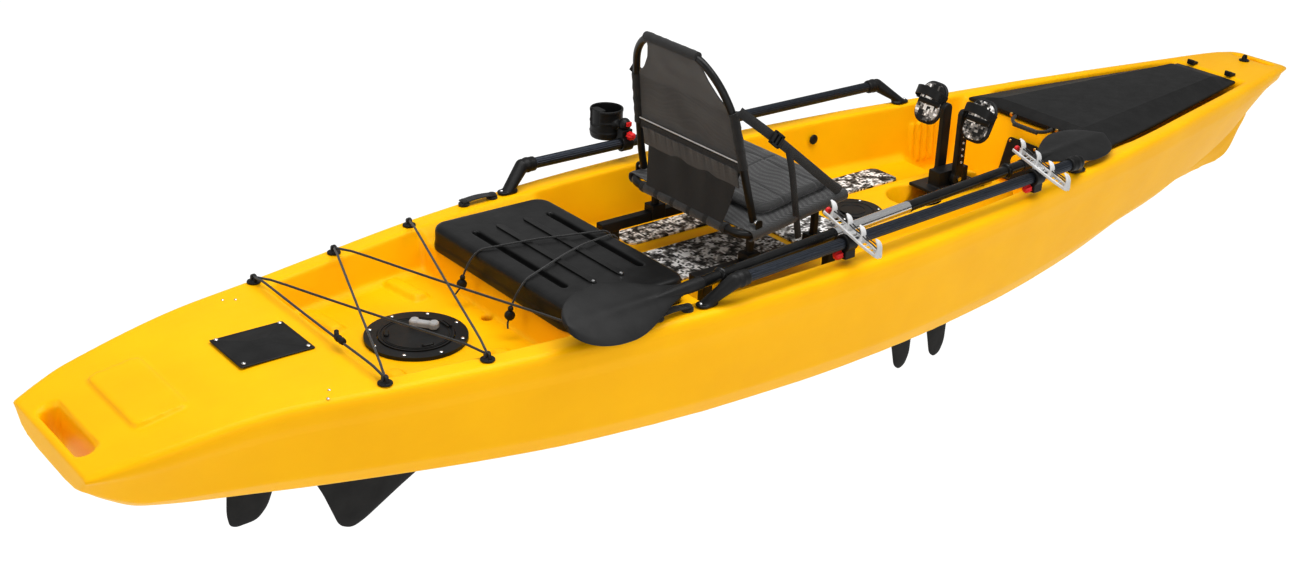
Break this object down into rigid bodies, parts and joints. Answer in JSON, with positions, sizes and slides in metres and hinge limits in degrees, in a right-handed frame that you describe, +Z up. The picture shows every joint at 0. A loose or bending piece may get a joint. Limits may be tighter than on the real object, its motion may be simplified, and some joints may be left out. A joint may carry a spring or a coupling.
{
  "type": "kayak",
  "caption": "Yellow sit-on-top fishing kayak with swinging fin drive, framed seat, deck hatches, side rails with holders, a paddle, rudder and opening bow cover.",
  "frame": {"origin": "on the flat keel amidships, on the centreline", "axes": "+X to the bow, +Y to port, +Z up"},
  "size_m": [4.26, 1.1012, 1.1876],
  "materials": {
    "hull_shell": "satin, fine moulded texture",
    "black_plastic": "satin",
    "steel": "brushed",
    "elastic_cord": "braided",
    "hatch_plastic": "satin",
    "grey_plastic": "satin",
    "box_lid_plastic": "smooth satin",
    "rail_aluminium": "dark anodised, ribbed",
    "red_plastic": "glossy",
    "tray_plastic": "satin",
    "shaft_plastic": "glossy",
    "sleeve_aluminium": "brushed",
    "blade_plastic": "satin",
    "webbing": "woven",
    "foam_pad": "camouflage foam, matt",
    "seat_tube": "powder coated",
    "seat_fabric": "woven mesh",
    "drive_plastic": "satin",
    "pedal_plastic": "satin with camouflage pad",
    "fin_rubber": "matt",
    "cover_plastic": "grained",
    "rope": "braided",
    "brass": "polished"
  },
  "bodies": {
    "hull": {"hull": "hull_shell", "stern_cover_plate": "black_plastic", "stern_plate_screws": "steel", "deck_pad_eyes": "black_plastic", "deck_bungee": "elastic_cord", "bungee_adjuster": "black_plastic", "rear_hatch_ring": "hatch_plastic", "rear_hatch_screws": "steel", "centre_hatch_ring": "hatch_plastic", "centre_hatch_screws": "steel", "port_rail_tube": "rail_aluminium", "port_rail_castings": "black_plastic", "starboard_rail_tube": "rail_aluminium", "starboard_rail_castings": "black_plastic", "rail_bolts": "steel", "rod_holder_clamp": "black_plastic", "front_holder_clamp": "black_plastic", "rear_holder_clamp": "black_plastic", "carry_handles": "webbing", "deck_pads": "foam_pad", "wall_plugs": "black_plastic", "seat_rails": "black_plastic", "drive_housing": "drive_plastic", "drive_axles": "steel", "bulkhead_plate": "black_plastic", "bow_cover_hinges": "black_plastic", "skeg": "black_plastic"},
    "rear_lid": {"rear_hatch_lid": "hatch_plastic"},
    "rear_lid_handle": {"rear_hatch_handle": "grey_plastic"},
    "centre_lid": {"centre_hatch_lid": "hatch_plastic"},
    "storage_lid": {"storage_box_lid": "box_lid_plastic", "box_tie_cords": "elastic_cord", "box_cord_toggles": "black_plastic"},
    "rod_knob": {"rod_holder_knob": "red_plastic"},
    "front_knob": {"front_holder_knob": "red_plastic"},
    "rear_knob": {"rear_holder_knob": "red_plastic"},
    "rod_cup": {"rod_holder_cup": "black_plastic"},
    "front_tray": {"front_holder_tray": "tray_plastic"},
    "rear_tray": {"rear_holder_tray": "tray_plastic"},
    "paddle": {"paddle_shaft": "shaft_plastic", "paddle_sleeve": "sleeve_aluminium", "paddle_blades": "blade_plastic"},
    "seat": {"seat_clips": "black_plastic", "seat_frame": "seat_tube", "seat_cushion": "seat_fabric", "back_pivot_bolts": "steel", "seat_straps": "webbing"},
    "seat_back": {"seat_back_frame": "seat_tube", "seat_back_panel": "seat_fabric"},
    "port_arm": {"port_pedal_arm": "drive_plastic"},
    "starboard_arm": {"starboard_pedal_arm": "drive_plastic"},
    "port_pedal": {"port_pedal": "pedal_plastic"},
    "starboard_pedal": {"starboard_pedal": "pedal_plastic"},
    "front_fin": {"front_fin": "fin_rubber"},
    "rear_fin": {"rear_fin": "fin_rubber"},
    "bow_cover": {"bow_cover": "cover_plastic", "bow_handle_screws": "brass", "bow_cover_cord": "elastic_cord"},
    "bow_handle": {"bow_handle": "rope"},
    "rudder": {"rudder": "black_plastic"}
  },
  "joints": [
    {"name": "rear_lid_hinge", "type": "hinge", "parent": "hull", "child": "rear_lid", "pos_m": [-1.333, 0, 0.244], "axis": [0, -1, 0], "range_deg": [0, 28]},
    {"name": "rear_handle_turn", "type": "hinge", "parent": "rear_lid", "child": "rear_lid_handle", "pos_m": [-1.208, 0.02, 0.25], "axis": [0, 0, 1], "range_deg": [0, 90]},
    {"name": "centre_lid_turn", "type": "hinge", "parent": "hull", "child": "centre_lid", "pos_m": [0.19, 0, 0.24], "axis": [0, 0, 1], "range_deg": [0, 60]},
    {"name": "storage_lid_lift", "type": "slide", "parent": "hull", "child": "storage_lid", "axis": [0, 0, 1], "range_m": [0, 0.2]},
    {"name": "bow_cover_hinge", "type": "hinge", "parent": "hull", "child": "bow_cover", "pos_m": [1.82, 0, 0.39262], "axis": [0, 1, 0], "range_deg": [0, 100]},
    {"name": "bow_handle_swing", "type": "hinge", "parent": "bow_cover", "child": "bow_handle", "pos_m": [0.941, 0, 0.36109], "axis": [0, 1, 0], "range_deg": [0, 50]},
    {"name": "seat_slide", "type": "slide", "parent": "hull", "child": "seat", "axis": [1, 0, 0], "range_m": [-0.1, 0.06]},
    {"name": "seat_back_fold", "type": "hinge", "parent": "seat", "child": "seat_back", "pos_m": [-0.392, 0, 0.417], "axis": [0, 1, 0], "range_deg": [-8, 54], "deforming": ["seat_straps"]},
    {"name": "rod_cup_tilt", "type": "hinge", "parent": "hull", "child": "rod_cup", "pos_m": [-0.3, 0.4334, 0.46014], "axis": [0, 1, 0], "range_deg": [0, 35]},
    {"name": "rod_knob_turn", "type": "hinge", "parent": "hull", "child": "rod_knob", "pos_m": [-0.3, 0.4154, 0.43313], "axis": [0, -1, 0], "continuous": true},
    {"name": "front_knob_turn", "type": "hinge", "parent": "hull", "child": "front_knob", "pos_m": [0.451, -0.40486, 0.38717], "axis": [-1, 0, 0], "continuous": true},
    {"name": "rear_knob_turn", "type": "hinge", "parent": "hull", "child": "rear_knob", "pos_m": [-0.281, -0.43199, 0.37668], "axis": [-1, 0, 0], "continuous": true},
    {"name": "front_tray_swivel", "type": "hinge", "parent": "hull", "child": "front_tray", "pos_m": [0.47, -0.40486, 0.43977], "axis": [0, 0, 1], "range_deg": [-30, 30]},
    {"name": "rear_tray_swivel", "type": "hinge", "parent": "hull", "child": "rear_tray", "pos_m": [-0.262, -0.43199, 0.42928], "axis": [0, 0, 1], "range_deg": [-30, 30]},
    {"name": "paddle_out", "type": "slide", "parent": "hull", "child": "paddle", "axis": [0, 1, 0], "range_m": [0, 0.06]},
    {"name": "port_arm_swing", "type": "hinge", "parent": "hull", "child": "port_arm", "pos_m": [0.578, 0.034, 0.268], "axis": [0, 1, 0], "range_deg": [-28, 28]},
    {"name": "starboard_arm_swing", "type": "hinge", "parent": "hull", "child": "starboard_arm", "pos_m": [0.578, -0.034, 0.268], "axis": [0, 1, 0], "range_deg": [-28, 28]},
    {"name": "port_pedal_tilt", "type": "hinge", "parent": "port_arm", "child": "port_pedal", "pos_m": [0.578, 0.096, 0.463], "axis": [0, 1, 0], "range_deg": [-35, 35]},
    {"name": "starboard_pedal_tilt", "type": "hinge", "parent": "starboard_arm", "child": "starboard_pedal", "pos_m": [0.578, -0.096, 0.463], "axis": [0, 1, 0], "range_deg": [-35, 35]},
    {"name": "front_fin_sweep", "type": "hinge", "parent": "hull", "child": "front_fin", "pos_m": [0.606, 0, -0.024], "axis": [1, 0, 0], "range_deg": [-56, 56]},
    {"name": "rear_fin_sweep", "type": "hinge", "parent": "hull", "child": "rear_fin", "pos_m": [0.452, 0, -0.024], "axis": [1, 0, 0], "range_deg": [-56, 56]},
    {"name": "rudder_turn", "type": "hinge", "parent": "hull", "child": "rudder", "pos_m": [-1.65, 0, 0.1], "axis": [0, 0, 1], "range_deg": [-38, 38]}
  ],
  "couplings": [
    {"joint": "starboard_arm_swing", "follows": "port_arm_swing", "ratio": -1},
    {"joint": "front_fin_sweep", "follows": "port_arm_swing", "ratio": 2},
    {"joint": "rear_fin_sweep", "follows": "port_arm_swing", "ratio": -2}
  ]
}
